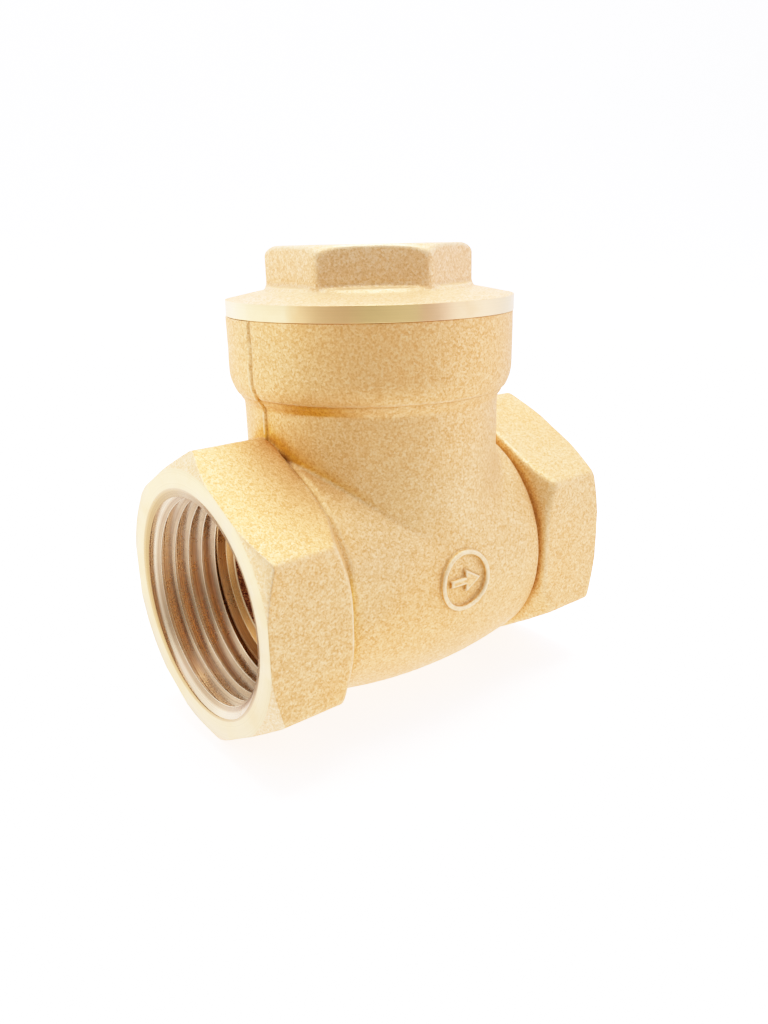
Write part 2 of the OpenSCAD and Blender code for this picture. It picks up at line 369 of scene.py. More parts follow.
def surface_nets(name, field, low, high, cell, material):
    """Quad mesh of field = 0, its vertices pulled onto the surface by Newton steps."""
    low, high = np.array(low, float), np.array(high, float)
    axes = [np.arange(low[i], high[i] + cell, cell) for i in range(3)]
    values = np.empty([len(axis) for axis in axes], np.float32)
    plane_y, plane_z = np.meshgrid(axes[1], axes[2], indexing="ij")
    for start in range(0, len(axes[0]), 24):
        slab = axes[0][start:start + 24, None, None]
        values[start:start + 24] = field(*np.broadcast_arrays(slab, plane_y, plane_z))
    inside = values < 0
    shape = values.shape
    corners = list(np.ndindex(2, 2, 2))
    count = np.zeros([n - 1 for n in shape], np.uint8)
    for corner in corners:
        count += inside[tuple(slice(bit, n - 1 + bit) for bit, n in zip(corner, shape))]
    active = (count > 0) & (count < 8)
    cells = np.argwhere(active)
    numbers = np.full(active.shape, -1, np.int64)
    numbers[active] = np.arange(len(cells))

    # each vertex starts at the mean of its cell's edge crossings
    crossings, found = np.zeros((len(cells), 3)), np.zeros(len(cells))
    for corner in corners:
        for axis in range(3):
            if corner[axis]:
                continue
            step = np.eye(3, dtype=int)[axis]
            first = values[tuple((cells + corner).T)]
            second = values[tuple((cells + corner + step).T)]
            crossed = (first < 0) != (second < 0)
            share = first[crossed] / (first[crossed] - second[crossed])
            crossings[crossed] += np.array(corner) + share[:, None] * step
            found[crossed] += 1
    points = low + (cells + crossings / found[:, None]) * cell
    reach = cell * 0.2
    for _ in range(3):
        distance = field(*points.T)
        slope = np.stack([(ahead - behind) / (2 * reach)
                          for ahead, behind in gradient_pairs(field, points, reach)], 1)
        steepness = np.maximum((slope * slope).sum(1), 0.05)
        move = (distance / steepness)[:, None] * slope
        size = np.linalg.norm(move, axis=1, keepdims=True)
        points = points - move * np.minimum(1, 0.5 * cell / np.maximum(size, 1e-9))

    # one quad round each grid edge that crosses the surface
    quads = []
    for axis in range(3):
        side, other = (axis + 1) % 3, (axis + 2) % 3
        edges = np.argwhere(np.diff(inside, axis=axis))
        edges = edges[(edges[:, side] > 0) & (edges[:, other] > 0)
                      & (edges[:, side] < shape[side] - 1) & (edges[:, other] < shape[other] - 1)]
        around = []
        for side_back, other_back in ((1, 1), (0, 1), (0, 0), (1, 0)):
            near = edges.copy()
            near[:, side] -= side_back
            near[:, other] -= other_back
            around.append(numbers[tuple(near.T)])
        around = np.stack(around, 1)
        outward = ~inside[tuple(edges.T)]
        around[outward] = around[outward][:, ::-1]
        quads.append(around)
    quads = np.vstack(quads)
    quads = quads[(quads >= 0).all(1)]
    return make_mesh(name, points, quads, material)


def mark_edges(piece, field, shade=1.0, stain_and_shade=None):
    """Store two vertex attributes of the skin for the materials.

    edge_form is above 0 on convex edges and below 0 in hollows. The second attribute is painted
    shade and painted light: how much the metal around closes the place in, stronger towards the
    inlet and weaker on faces that look up, for a painted shade; below 0 on ledges that face up, for
    a painted light. The optional field adds a painted shadow of its own.
    """
    reach = 0.38
    mesh = piece.data
    points = vertex_coords(mesh).astype(float) * 1000
    points[:, 0] -= CENTRE_X * 1000
    distance = field(*points.T)
    form, slope = -6 * distance, []
    for ahead, behind in gradient_pairs(field, points, reach):
        form = form + ahead + behind
        slope.append(ahead - behind)
    normal = np.stack(slope, 1)
    normal /= np.maximum(np.linalg.norm(normal, axis=1, keepdims=True), 1e-9)
    # painted shade: how much the skin is closed in, probed along its normal
    painted_shading = 0
    for probe, share in ((1.2, 0.3), (2.5, 0.3), (5.0, 0.25), (8.0, 0.15)):
        painted_shading = painted_shading + share * np.clip(1 - field(*(points + normal * probe).T) / probe, 0, 1)
    # the painted shade is stronger towards the inlet and on faces that do not look up; on ledges
    # that look up it goes below 0, for painted light
    upward = np.clip(2 * normal[:, 2], 0, 1)
    towards_inlet = 0.3 + 0.7 * np.clip(0.5 - points[:, 0] / 16, 0, 1)
    ledge = 1 - upward - np.clip(3 * normal[:, 2] - 0.9, 0, 1)
    painted_shading = shade * painted_shading * towards_inlet * ledge
    # an extra painted shadow, such as the one under the collar
    if stain_and_shade is not None:
        painted_shading = np.maximum(painted_shading, stain_and_shade(*points.T))
    skin = np.abs(distance) < 0.15
    for name, value in (("edge_form", form / (reach * reach)), ("painted_shade_and_light", painted_shading)):
        attribute = mesh.attributes.new(name, "FLOAT", "POINT")
        attribute.data.foreach_set("value", np.where(skin, value, 0.0).astype(np.float32))


# ---------------------------------------------------------------- shader graph
class Graph:
    """Short ways to add nodes to one shader tree; an input takes a value or a socket."""

    def __init__(self, tree):
        self.tree = tree

    def fill(self, node, values):
        """Set or link inputs from a dict of socket name or number to value."""
        for key, value in values.items():
            socket = node.inputs[key]
            if isinstance(value, bpy.types.NodeSocket):
                self.tree.links.new(value, socket)
            elif socket.type == "RGBA" and len(value) == 3:
                socket.default_value = (*value, 1)
            else:
                socket.default_value = value

    def add(self, kind, *inputs, **named):
        """Named values go to the input of that name, or else to the node's own setting."""
        node = self.tree.nodes.new("ShaderNode" + kind)
        for name, value in named.items():
            if name in node.inputs.keys():
                self.fill(node, {name: value})
            else:
                setattr(node, name, value)
        self.fill(node, dict(enumerate(inputs)))
        return node

    def position(self):
        place = self.add("TexCoord").outputs["Object"]
        return self.add("Mapping", Vector=place, Scale=(1, 1, 1)).outputs[0]

    def noise(self, place, scale, detail=3.0, rough=0.55, warp=0.0):
        return self.add("TexNoise", Vector=place, Scale=scale, Detail=detail, Roughness=rough,
                        Distortion=warp).outputs["Fac"]

    def ramp(self, value, stops):
        node = self.add("ValToRGB", value)
        elements = node.color_ramp.elements
        for _ in range(len(stops) - len(elements)):
            elements.new(1.0)
        for element, (place, colour) in zip(elements, stops):
            element.position = place
            element.color = (*colour, 1)
        return node.outputs[0]

    def remap(self, value, source, target):
        """Map the source range onto the target range."""
        return self.add("MapRange", value, *source, *target).outputs[0]

    def mix(self, factor, first, second, blend="MIX"):
        node = self.add("Mix", data_type="RGBA", blend_type=blend)
        self.fill(node, {0: factor, 6: first, 7: second})
        return node.outputs[2]

    def mix_value(self, factor, first, second):
        node = self.add("Mix", data_type="FLOAT")
        self.fill(node, {0: factor, 2: first, 3: second})
        return node.outputs[0]

    def tinted(self, colour, tint):
        return self.mix(1.0, colour, tint, "MULTIPLY")

    def math(self, operation, first, second=0.0):
        return self.add("Math", first, second, operation=operation).outputs[0]

    def weighted(self, *terms):
        """Sum of (value, weight) terms."""
        total = None
        for value, weight in terms:
            part = self.math("MULTIPLY", value, weight)
            total = part if total is None else self.math("ADD", total, part)
        return total

    def dot(self, vector, direction):
        node = self.add("VectorMath", vector, direction, operation="DOT_PRODUCT")
        return node.outputs["Value"]

    def turn(self, sine, cosine):
        """Angle from -180 to 180 degrees as 0 to 1."""
        angle = self.math("ARCTAN2", sine, cosine)
        return self.remap(angle, (-math.pi, math.pi), (0.0, 1.0))

    def attribute(self, name):
        return self.add("Attribute", attribute_name=name).outputs["Fac"]

    def edge_bevel(self, radius):
        """Normal input that rounds edges in shading, or nothing for a zero radius."""
        return {"Normal": self.add("Bevel", Radius=radius, samples=6).outputs[0]} if radius else {}

    def bump(self, height, strength, distance, **normal):
        return self.add("Bump", Strength=strength, Distance=distance, Height=height,
                        **normal).outputs[0]


def new_material(name):
    """A material with its graph, its Principled node and its output node."""
    material = bpy.data.materials.new(name)
    material.use_nodes = True
    material.node_tree.nodes.clear()
    graph = Graph(material.node_tree)
    surface = graph.add("BsdfPrincipled")
    output = graph.add("OutputMaterial", surface.outputs[0])
    return material, graph, surface, output


# ---------------------------------------------------------------- kinds of material
# colour of worn edges, partly a painted highlight, and the painted light of ledges that face up
WORN_HIGHLIT_BRASS = (1.0, 0.75, 0.42)
LIT_LEDGE_BRASS = (1.0, 0.72, 0.38)


def blasted(name, dark, mid, light, rough=(0.5, 0.68), grain=1.0, edge_wear_highlight=0.75, edge_radius=0.0):
    """Sand-blasted brass: fine grains, slow tint changes, brighter and smoother worn edges that
    double as painted highlights, painted shade in hollows and shut-in places, painted light on
    ledges that face up.

    rough is the roughness of light and of dark grains, edge_radius is in metres.
    """
    material, graph, surface, _ = new_material(name)
    place = graph.position()
    fine = graph.noise(place, scale=4100, detail=2.0, rough=0.65)
    coarse = graph.noise(place, scale=1300, detail=3.0, rough=0.65)
    slow = graph.noise(place, scale=90, detail=3.0, rough=0.55, warp=0.4)
    tint = graph.noise(place, scale=38, detail=2.0, rough=0.5, warp=0.5)
    cells = graph.add("TexVoronoi", Scale=3300.0, Vector=place)
    grit = graph.add("SeparateColor", cells.outputs["Color"])
    speck = graph.weighted((fine, 0.66), (coarse, 0.13), (grit.outputs[0], 0.21))
    drift = graph.math("MULTIPLY", graph.math("SUBTRACT", slow, 0.5), 0.12)
    speck = graph.math("ADD", speck, drift)
    colour = graph.ramp(speck, [(0.34, dark), (0.5, mid), (0.66, light)])
    warmth = graph.ramp(tint, [(0.38, (1.03, 0.97, 0.9)), (0.62, (0.98, 1.0, 1.03))])
    colour = graph.tinted(colour, warmth)

    # worn edges, partly a painted highlight, dirt and painted shade in hollows, painted shade in
    # shut-in places, painted light on ledges that face up
    form = graph.attribute("edge_form")
    wear_and_highlight = graph.remap(form, (0.5, 2.2), (0.0, edge_wear_highlight))
    wear_and_highlight = graph.math("MULTIPLY", wear_and_highlight, graph.remap(coarse, (0.35, 0.6), (0.75, 1.0)))
    dirt_and_shade = graph.remap(form, (-0.6, -2.4), (0.0, 0.36))
    painted_shading = graph.attribute("painted_shade_and_light")
    # painted shade: darker, deeper gold in shut-in places
    colour = graph.mix(graph.remap(painted_shading, (0.1, 0.5), (0.0, 0.9)), colour,
                       graph.tinted(colour, (0.86, 0.64, 0.14)))
    # painted light: paler on ledges that face up
    colour = graph.mix(graph.remap(painted_shading, (-0.04, -0.22), (0.0, 0.75)), colour, LIT_LEDGE_BRASS)
    # worn edges, brighter partly as a painted highlight
    colour = graph.mix(wear_and_highlight, colour, WORN_HIGHLIT_BRASS)
    # darker in hollows: dirt with painted shade
    colour = graph.mix(dirt_and_shade, colour, tuple(channel * 0.6 for channel in dark))

    # seen in other metal the colour is paler, so crevices go dark gold instead of red
    reflected = graph.add("LightPath").outputs["Is Glossy Ray"]
    colour = graph.mix(reflected, colour, graph.tinted(colour, (0.84, 1.0, 1.15)))
    roughness = graph.remap(speck, (0.35, 0.65), rough[::-1])
    roughness = graph.math("SUBTRACT", roughness, graph.math("MULTIPLY", wear_and_highlight, 0.12))
    height = graph.weighted((fine, 0.7), (coarse, 0.55), (grit.outputs[1], 0.2))
    normal = graph.bump(height, strength=0.6 * grain, distance=0.00014,
                        **graph.edge_bevel(edge_radius))
    graph.fill(surface, {"Base Color": colour, "Metallic": 1.0, "Roughness": roughness,
                         "Normal": normal})
    return material


def turned(name, base, rough, axis, lines, edge_radius=0.0, tarnish=None, depth=0.86,
           worn_crest_highlight=None, reflection_patches=None, along=1.0, radial_shade=None):
    """Machined metal: fine turning lines round the axis, slight streaks and stains.

    lines scales the height of the turning lines and depth darkens them; along stretches them on the
    axis. worn_crest_highlight is (inner radius, outer radius, colour of the inside): a worn crest
    kept bright, partly a painted highlight. radial_shade is (inner radius, outer radius, tint
    stops): painted shade by radius. reflection_patches are tint stops round the axis: painted
    reflections. Radii in metres.
    """
    material, graph, surface, _ = new_material(name)
    place = graph.position()
    parts = graph.add("SeparateXYZ", place).outputs
    # the two directions across the tool's axis, measured from it
    lengthwise = "xyz".index(axis)
    first, second = (parts[i] for i in range(3) if i != lengthwise)
    if axis == "z":
        first = graph.math("SUBTRACT", first, CENTRE_X)
    if axis == "y":
        first = graph.math("SUBTRACT", first, CENTRE_X + PIN_X * 0.001)
        second = graph.math("SUBTRACT", second, PIN_Z * 0.001)
    squares = graph.math("ADD", graph.math("MULTIPLY", first, first),
                         graph.math("MULTIPLY", second, second))
    radius = graph.math("SQRT", squares)
    tool = graph.add("CombineXYZ", graph.math("MULTIPLY", radius, 1.0),
                     graph.math("MULTIPLY", parts[lengthwise], along)).outputs[0]
    rings = graph.noise(tool, scale=5200, detail=2.0, rough=0.7)
    wide = graph.noise(tool, scale=900, detail=2.0, rough=0.6)
    stain_and_shade = graph.noise(place, scale=160, detail=4.0, rough=0.6, warp=0.6)
    fleck = graph.noise(place, scale=1500, detail=2.0, rough=0.6)
    colour = graph.ramp(rings, [(0.3, tuple(channel * depth for channel in base)), (0.6, base)])
    tarnish = tarnish or tuple(channel * fade for channel, fade in zip(base, (0.9, 0.8, 0.7)))
    colour = graph.mix(graph.remap(stain_and_shade, (0.5, 0.72), (0.0, 0.35)), colour, tarnish)
    # worn crest, kept bright partly as a painted highlight
    if worn_crest_highlight:
        colour = graph.mix(graph.remap(radius, worn_crest_highlight[:2], (1.0, 0.0)), colour, worn_crest_highlight[2])
    # painted shade: tint by radius
    if radial_shade:
        share = graph.remap(radius, radial_shade[:2], (0.0, 1.0))
        colour = graph.tinted(colour, graph.ramp(share, radial_shade[2]))
    # painted reflections: tints round the axis
    if reflection_patches:
        colour = graph.tinted(colour, graph.ramp(graph.turn(second, first), reflection_patches))
    roughness = graph.math("ADD", graph.remap(stain_and_shade, (0.3, 0.7), (rough * 0.8, rough * 1.3)),
                           graph.remap(fleck, (0.5, 0.8), (0.0, 0.08)))
    height = graph.weighted((rings, 0.6), (wide, 0.7))
    normal = graph.bump(height, strength=0.35 * lines, distance=0.00003,
                        **graph.edge_bevel(edge_radius))
    graph.fill(surface, {"Base Color": colour, "Metallic": 1.0, "Roughness": roughness,
                         "Normal": normal})
    return material


def moulded(name, grain_scale, cloud_scale, cloud_rough, colours, rough, strength, distance,
            extra):
    """Rubber or plastic: clouds between two colours under a fine grain."""
    material, graph, surface, _ = new_material(name)
    place = graph.position()
    grain = graph.noise(place, scale=grain_scale, rough=0.6)
    cloud = graph.noise(place, scale=cloud_scale, rough=cloud_rough)
    graph.fill(surface, {
        "Base Color": graph.ramp(cloud, [(0.3, colours[0]), (0.7, colours[1])]),
        "Roughness": graph.remap(grain, (0.3, 0.7), rough),
        "Normal": graph.bump(grain, strength=strength, distance=distance),
        **extra})
    return material


# ---------------------------------------------------------------- materials
BODY_BRASS = blasted(
    "forged_brass_blasted", dark=(0.74, 0.375, 0.115), mid=(0.88, 0.49, 0.18),
    light=(1.0, 0.625, 0.28), edge_radius=0.0003)
CAP_BRASS = blasted(
    "bonnet_brass_blasted", dark=(0.73, 0.41, 0.165), mid=(0.88, 0.54, 0.25),
    light=(1.0, 0.68, 0.38), edge_radius=0.0003)
CHAMFER_BRASS = blasted(
    "end_chamfer_brass", dark=(0.84, 0.50, 0.215), mid=(0.94, 0.61, 0.30),
    light=(1.0, 0.72, 0.41), rough=(0.38, 0.52), grain=0.5, edge_radius=0.0004)
FACE_BRASS = turned("turned_end_brass", (0.97, 0.70, 0.35), rough=0.36, axis="x", lines=0.5,
                    edge_radius=0.0004)
# its radial tint is painted shade, darker on the mouth chamfer
PORT_BRASS = turned(
    "turned_port_brass", (0.80, 0.52, 0.26), rough=0.28, axis="x", lines=1.2,
    edge_radius=0.00006, depth=0.7,
    radial_shade=(0.0148, 0.0170, [(0.15, (1, 1, 1)), (0.3, (0.62, 0.55, 0.42)),
                             (0.8, (0.72, 0.66, 0.5)), (1.0, (1, 1, 1))]))
# as-forged bore brass, darkened and reddened as painted shade of the deep bore
SHADED_BORE_BRASS = blasted(
    "as_forged_bore_shaded", dark=(0.14, 0.035, 0.02), mid=(0.34, 0.12, 0.06),
    light=(0.66, 0.34, 0.17), rough=(0.45, 0.7), grain=1.6, edge_wear_highlight=0.1)
# its crests stay bright, partly a painted highlight; its radial tint is painted shade on the flanks
TAP_BRASS = turned(
    "tapped_thread_brass", (0.97, 0.75, 0.50), rough=0.26, axis="x", lines=0.6,
    tarnish=(0.74, 0.50, 0.40), depth=0.6, worn_crest_highlight=(0.01515, 0.01518, (0.98, 0.76, 0.5)),
    along=0.03,
    radial_shade=(0.0151, 0.0166, [(0.04, (1, 1, 1)), (0.08, (0.5, 0.41, 0.34)),
                             (0.4, (0.66, 0.55, 0.47)), (0.6, (1, 0.95, 0.9))]))
CAP_THREAD_BRASS = turned("neck_thread_brass", (0.88, 0.58, 0.30), rough=0.22, axis="z", lines=1.0)

# painted reflections on the turned rims, as faint tints: (degrees about the vertical axis from the
# camera, tint)
RIM_PAINTED_REFLECTIONS = [
    (-75, (1, 1, 1)), (-31, (1, 0.98, 0.95)), (-25, (1, 0.80, 0.66)), (-8, (1, 0.77, 0.60)),
    (0, (1, 0.88, 0.64)), (16, (1, 0.88, 0.66)), (20, (1, 0.76, 0.66)), (28, (1, 0.78, 0.73)),
    (33, (1, 0.84, 0.76)), (50, (1, 0.9, 0.86)), (64, (1, 1, 1))]
camera_angle = math.degrees(math.atan2(-VIEW_Y, -VIEW_X))
RIM_BRASS = turned(
    "turned_rim_brass", (1.0, 0.73, 0.37), rough=0.33, axis="z", lines=0.7, depth=0.94,
    edge_radius=0.00012,
    reflection_patches=sorted((((camera_angle + angle + 180) % 360) / 360, tint)
                   for angle, tint in RIM_PAINTED_REFLECTIONS))
# as-forged cavity brass, darker than the outside as painted shade of the closed interior
SHADED_CAVITY_BRASS = blasted(
    "cavity_brass_shaded", dark=(0.30, 0.12, 0.045), mid=(0.52, 0.26, 0.10), light=(0.76, 0.45, 0.2),
    rough=(0.5, 0.7), grain=1.4, edge_wear_highlight=0.1)
ARM_BRASS = blasted(
    "arm_brass_tumbled", dark=(0.58, 0.33, 0.12), mid=(0.78, 0.47, 0.20),
    light=(0.92, 0.62, 0.31), rough=(0.34, 0.5), grain=0.6, edge_wear_highlight=0.4)
DISC_BRASS = turned("disc_brass_turned", (0.90, 0.58, 0.26), rough=0.24, axis="x", lines=1.0,
                    edge_radius=0.00008)
NUT_BRASS = turned("nut_brass", (0.92, 0.62, 0.30), rough=0.2, axis="x", lines=0.8,
                   edge_radius=0.00008)
PLUG_BRASS = turned("plug_brass", (0.92, 0.62, 0.30), rough=0.22, axis="y", lines=0.8)
STEEL_X = turned("stainless_x", (0.60, 0.59, 0.57), rough=0.22, axis="x", lines=0.9,
                 edge_radius=0.00006, tarnish=(0.5, 0.48, 0.45))
STEEL_Y = turned("stainless_y", (0.60, 0.59, 0.57), rough=0.18, axis="y", lines=0.9,
                 tarnish=(0.5, 0.48, 0.45))
RUBBER = moulded(
    "nbr_rubber", grain_scale=1800, cloud_scale=120, cloud_rough=0.6,
    colours=((0.016, 0.016, 0.017), (0.035, 0.034, 0.034)), rough=(0.5, 0.72),
    strength=0.35, distance=0.00005, extra={})
PTFE = moulded(
    "ptfe_white", grain_scale=900, cloud_scale=140, cloud_rough=0.5,
    colours=((0.72, 0.70, 0.64), (0.84, 0.83, 0.79)), rough=(0.35, 0.55),
    strength=0.25, distance=0.00004,
    extra={"Subsurface Weight": 0.15, "Subsurface Radius": (0.0008, 0.0007, 0.0006)})


# ---------------------------------------------------------------- body: outer skin
def belly_radius(x, sag=1):
    return BELLY_R - (x - BELLY_X) ** 2 / 180 * sag


def belly_skin(x, z, pipe_r):
    """Belly radius: above the pipe axis, towards the inlet, it stays almost full."""
    upper = np.clip(z / (pipe_r + 1e-6) / 0.42, 0, 1)
    upper = upper * upper * (3 - 2 * upper) * np.clip((3 - x) / 3, 0, 1)
    return belly_radius(x, 1 - 0.76 * upper) - 0.38 * upper * np.exp(-((x + 19.25) / 0.42) ** 2)


def hexagon_end(x, y, z, side, ridge, back, face):
    """End hexagon at the inlet (side -1) or outlet (+1).

    ridge, back and face are the blends of its ridges, its inner chamfer and its inner face.
    """
    out = side * x
    slants = [np.abs(0.5 * y + SIN_60 * z), np.abs(0.5 * y - SIN_60 * z)]
    field = soft_max(soft_max(*slants, ridge), np.abs(y), ridge) - HEX_HALF
    lift = 0 if side > 0 else 1.9 * np.clip((z - 12) / 8, 0, 1)
    cone = 0.634 * (length(y, z) - 19.5 - lift) - 0.774 * (out - HEX_INNER)
    field = soft_max(field, cone, back)
    field = soft_max(field, HEX_INNER - out, face)
    return np.maximum(field, out - (HALF + 1.6))


def neck_field(x, z, neck_r):
    """Neck, its flare and the collar with a small undercut step."""
    neck = neck_r - 19.2 + 0.1 * np.clip((x + 4) / 30, -1, 1)
    flare = 0.889 * (neck_r - COLLAR_R) - 0.458 * (z - 29.35)
    under = 0.12 * (neck_r - 20) - 0.993 * (z - 27.55)
    step = soft_max(neck_r - 19.95, 0.81 * (neck_r - 19.22) - 0.586 * (z - 26.15), 0.3)
    collar = soft_max(soft_max(neck_r - COLLAR_R, flare, 0.7), under, 0.2)
    collar = soft_min(collar, np.maximum(step, z - 30), 0.2)
    neck = soft_min(neck, collar, 0.3)
    return np.maximum(np.maximum(neck, z - 41.5), -z)


# fillet between belly and neck: crisp towards the inlet, wide towards the outlet
FILLET_X = [-20, -7, -4, 0, 5, 9, 16]
FILLET = [0.3, 0.3, 0.45, 1.2, 2.6, 2.5, 1.6]
BODY_NOISE = [(0.045, 7.5, 3), (0.022, 2.1, 5), (0.014, 0.9, 7)]


def body_field(x, y, z):
    pipe_r, neck_r = length(y, z), length(x, y)
    belly = (pipe_r - belly_skin(x, z, pipe_r)) * 0.985
    belly = soft_max(belly, x - 18.75, 1.1)
    belly = np.maximum(belly, -19.6 - x)
    core = np.maximum(pipe_r - 17.3, np.abs(x) - 26)
    field = soft_min(belly, core, 0.8)
    field = soft_min(field, neck_field(x, z, neck_r), np.interp(x, FILLET_X, FILLET))
    # die parting line near y = 0: the +Y half stands proud, with a thin wavy flash
    side = y - 0.08 + 0.16 * value_noise(x, y, z, 3.1, 9)
    proud = soft_step(0.2, side / 0.1) * np.clip(neck_r - 17.5, 0, 1)
    field = field - proud + 0.2 * np.exp(-((side + 0.3) / 0.24) ** 2)
    inlet = hexagon_end(x, y, z, side=-1, ridge=0.7, back=0.35, face=0.3)
    outlet = hexagon_end(x, y, z, side=1, ridge=0.8, back=0.7, face=0.9)
    field = soft_min(soft_min(field, inlet, 0.3), outlet, 0.8)
    # the flow mark sits in a shallow round recess
    recess = soft_step(0.2, (3.9 - length(x - MARK_X, z - MARK_Z)) / 0.09)
    field = field + np.where(y < -10, recess, 0.0)
    field = field - 0.05 * np.exp(-(side / 0.3) ** 2)
    return roughen(field, x, y, z, BODY_NOISE)


# flow arrow: (x, z) from the middle of the mark
ARROW = np.array([(-2.75, -0.5), (0.0, -0.5), (0.0, -1.65), (2.75, 0),
                  (0.0, 1.65), (0.0, 0.5), (-2.75, 0.5)])


def arrow_field(x, z):
    """Signed distance to the arrow's outline."""
    nearest = np.full(x.shape, 1e9)
    sign = np.ones(x.shape)
    for i, start in enumerate(ARROW):
        end = ARROW[i - 1]
        edge = end - start
        from_x, from_z = x - start[0], z - start[1]
        share = np.clip((from_x * edge[0] + from_z * edge[1]) / (edge @ edge), 0, 1)
        gap_x, gap_z = from_x - edge[0] * share, from_z - edge[1] * share
        nearest = np.minimum(nearest, gap_x * gap_x + gap_z * gap_z)
        above, below = z >= start[1], z < end[1]
        left = edge[0] * from_z > edge[1] * from_x
        sign = np.where((above & below & left) | (~above & ~below & ~left), -sign, sign)
    return sign * np.sqrt(nearest)


def mark_field(x, y, z):
    """Plain ring with an arrow in the flow direction, raised from the belly."""
    mark_x, mark_z = x - MARK_X, z - MARK_Z
    ring = np.abs(length(mark_x, mark_z) - MARK_R) - 0.42
    shape = np.minimum(ring, arrow_field(mark_x, mark_z) - 0.12)
    skin = body_field(x, y, z)
    return np.maximum(soft_max(shape + 0.25 * skin, skin - 0.55, 0.14), -1.4 - skin)


def skin_field(x, y, z):
    """The body's skin with its mark."""
    field = body_field(x, y, z)
    near = ((x - MARK_X) ** 2 + (z - MARK_Z) ** 2 < 49) & (y < -12)
    if near.any():
        field[near] = np.minimum(field[near], mark_field(x[near], y[near], z[near]))
    return field


def collar_painted_shadow(x, y, z):
    """Painted shadow: darkens the step under the collar on the side towards the inlet."""
    neck_r = length(x, y)
    turn = (np.degrees(np.arctan2(y, x)) + 153 + 180) % 360 - 180
    band = np.clip((27.75 - z) / 0.25, 0, 1) * np.clip((z - 25.9) / 0.35, 0, 1)
    band = band * np.clip((20.6 - neck_r) / 0.3, 0, 1) * (neck_r > 18.6)
    return 0.52 * band * np.exp(-(turn / 19.0) ** 2)


def outer_skin():
    """Forged body with its mark, end chamfers and machined faces, still solid."""
    skin = surface_nets("valve_body", body_field, (-HALF - 2.2, -23.5, -23.5),
                        (HALF + 2.2, 23.5, 42.5), 0.37, BODY_BRASS)
    join(skin, surface_nets("flow_mark", mark_field, (-5.3, -21.9, -4.9), (6.1, -16.5, 6.7),
                            0.12, BODY_BRASS))
    # cones that chamfer the hexagons; both meet the end faces at the same radius
    slope, face_r, outer_r = 1.75 / 2.85, 19.75, 25.5
    inlet_half = [(0, -HALF - 1), (face_r - 1 / slope, -HALF - 1),
                  (outer_r, -HALF + (outer_r - face_r) * slope), (62, -HALF + 6)]
    outlet_half = [(radius, -along) for radius, along in reversed(inlet_half)]
    clip(skin, lathe("end_chamfers", inlet_half + outlet_half, "x", CHAMFER_BRASS, BODY_SEG))
    clip(skin, cylinder("turned_ends", 62, -HALF, HALF, "x", FACE_BRASS, 96))
    facing = [(0, COLLAR_TOP), (21.0, COLLAR_TOP), (21.25, COLLAR_TOP - 0.08),
              (26, COLLAR_TOP - 0.08), (26, 46), (0, 46)]
    return cut(skin, lathe("collar_facing", facing, "z", RIM_BRASS, BODY_SEG))


# ---------------------------------------------------------------- body: hollows
def pipe_thread(name, side):
    """Threaded rod that cuts a G 1 thread, from outside the mouth to the plain band."""
    rod = thread_rod(name, pipe_form(), PIPE_PITCH, (17.0, HALF + 3.0), "x", TAP_BRASS,
                     THREAD_SEG, phase=0.9)
    if side < 0:
        # half a turn about Z keeps the hand of the thread
        points = vertex_coords(rod.data)
        points[:, 0] = 2 * CENTRE_X - points[:, 0]
        points[:, 1] = -points[:, 1]
        rod.data.vertices.foreach_set("co", points.ravel())
        rod.data.update()
    low, high = sorted((side * 21.05, side * (HALF + 2)))
    return clip(rod, cylinder(name + "_trim", 18, low, high, "x", TAP_BRASS, 96))


def port_tool(name, side, bore_r, bore_end):
    """Mouth chamfer, plain band behind the thread, shoulder and the as-forged bore."""
    drill, band = PIPE_MIN - 0.3, PIPE_MIN - 0.38
    profile = [(0, HALF + 1), (18.5, HALF + 1), (16.95, HALF, 0.1), (drill, HALF - 0.85),
               (drill, 21.2), (band, 21.0), (band, 19.5, 0.12), (bore_r + 0.1, 19.2, 0.15),
               (bore_r, 19.0, 0.1), (0, 19.0)]
    profile = [(point[0], side * point[1], *point[2:]) for point in profile]
    tool = lathe(name, profile, "x", PORT_BRASS, 192)
    return join(tool, cylinder(name + "_bore", bore_r, side * 19.2, side * bore_end, "x",
                               SHADED_BORE_BRASS, 160))


def cavity_tool():
    """Room for the disc along the pipe, the neck bore above it and the lower chamber."""
    wall = [(belly_radius(x) - BELLY_WALL, x) for x in np.linspace(-16.4, 17.2, 15)]
    seat = [(0, SEAT), (13.95, SEAT, 0.1), (14.1, SEAT - 0.15, 0.05), (14.1, SEAT - 1, 0.25)]
    profile = seat + [(*wall[0], 0.3)] + wall[1:-1] + [(*wall[-1], 1.2), (0, 17.2)]
    void = lathe("cavity_core", profile, "x", SHADED_CAVITY_BRASS, BODY_SEG)
    neck = [(0, 14.7), (NECK_BORE, 14.7, 0.6), (NECK_BORE, 30.2), (0, 30.2)]
    bore = lathe("neck_core", neck, "z", SHADED_CAVITY_BRASS, BODY_SEG)
    # two cheeks of metal stay beside the hinge; outline (z, x)
    cheek = [(10, -20), (10, -8.5), (21, -8.5, 0.8), (24, -11.5, 0.8), (24, -20)]
    for side in (-1, 1):
        low, high = sorted((side * 6.8, side * 27))
        cut(bore, prism("cheek", cheek, "y", low, high, SHADED_CAVITY_BRASS))
    join(void, bore)
    lower = cylinder("lower_core", NECK_BORE, -0.5, 20.5, "z", SHADED_CAVITY_BRASS, BODY_SEG)
    clip(lower, prism("lower_half", [(-12, -20), (28, -20), (28, 20), (-12, 20)], "z", 0, 20,
                      SHADED_CAVITY_BRASS))
    return join(void, lower)


